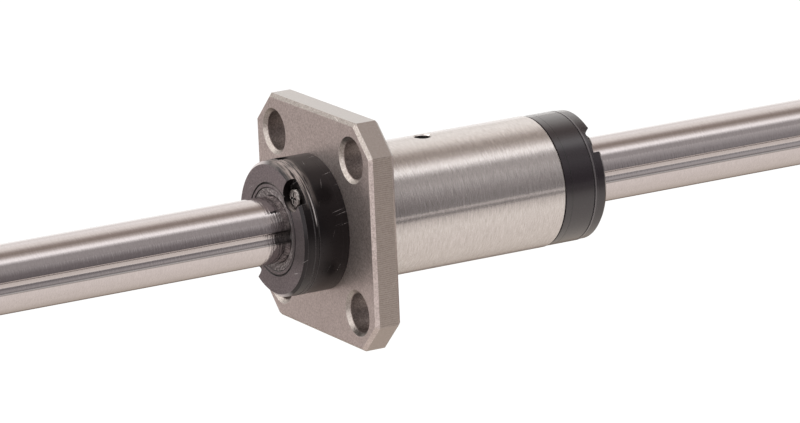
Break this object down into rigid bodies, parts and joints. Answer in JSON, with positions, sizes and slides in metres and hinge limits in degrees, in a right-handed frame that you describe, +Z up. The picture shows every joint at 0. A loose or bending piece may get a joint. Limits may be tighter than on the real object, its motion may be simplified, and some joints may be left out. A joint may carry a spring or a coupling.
{
  "type": "ball spline shaft",
  "caption": "Ground round shaft with ball races sliding through a flanged ball spline nut with a square cut-corner flange, round barrel and black end seals.",
  "frame": {"origin": "on the shaft's axis, in the flange's mounting face, which faces the barrel", "axes": "+X along the shaft from the flange towards the barrel, +Z up through the oil hole, -Y towards the near ball race"},
  "size_m": [0.15, 0.0206, 0.0206],
  "materials": {
    "shaft_steel": "ground and polished hardened steel",
    "nut_steel": "fine ground steel",
    "ball_steel": "polished bearing balls",
    "screw_steel": "dark plated steel",
    "black_plastic": "moulded, slightly glossy",
    "retainer_plastic": "moulded resin",
    "seal_rubber": "smooth dark grey rubber"
  },
  "bodies": {
    "nut": {"flanged_nut": "nut_steel", "near_load_balls": "ball_steel", "near_rear_turn_ball": "ball_steel", "near_return_balls": "ball_steel", "near_front_turn_ball": "ball_steel", "far_load_balls": "ball_steel", "far_rear_turn_ball": "ball_steel", "far_return_balls": "ball_steel", "far_front_turn_ball": "ball_steel", "upper_ball_retainer": "retainer_plastic", "lower_ball_retainer": "retainer_plastic", "front_seal_lip": "seal_rubber", "rear_seal_lip": "seal_rubber", "near_front_screw": "screw_steel", "near_rear_screw": "screw_steel", "far_front_screw": "screw_steel", "far_rear_screw": "screw_steel", "front_return_plate": "black_plastic", "front_end_cap": "black_plastic", "front_seal_plate": "black_plastic", "rear_return_plate": "black_plastic", "rear_end_cap": "black_plastic", "rear_seal_plate": "black_plastic"},
    "shaft": {"spline_shaft": "shaft_steel"}
  },
  "joints": [
    {"name": "shaft_slide", "type": "slide", "parent": "nut", "child": "shaft", "axis": [1, 0, 0], "range_m": [-0.058, 0.058]}
  ]
}
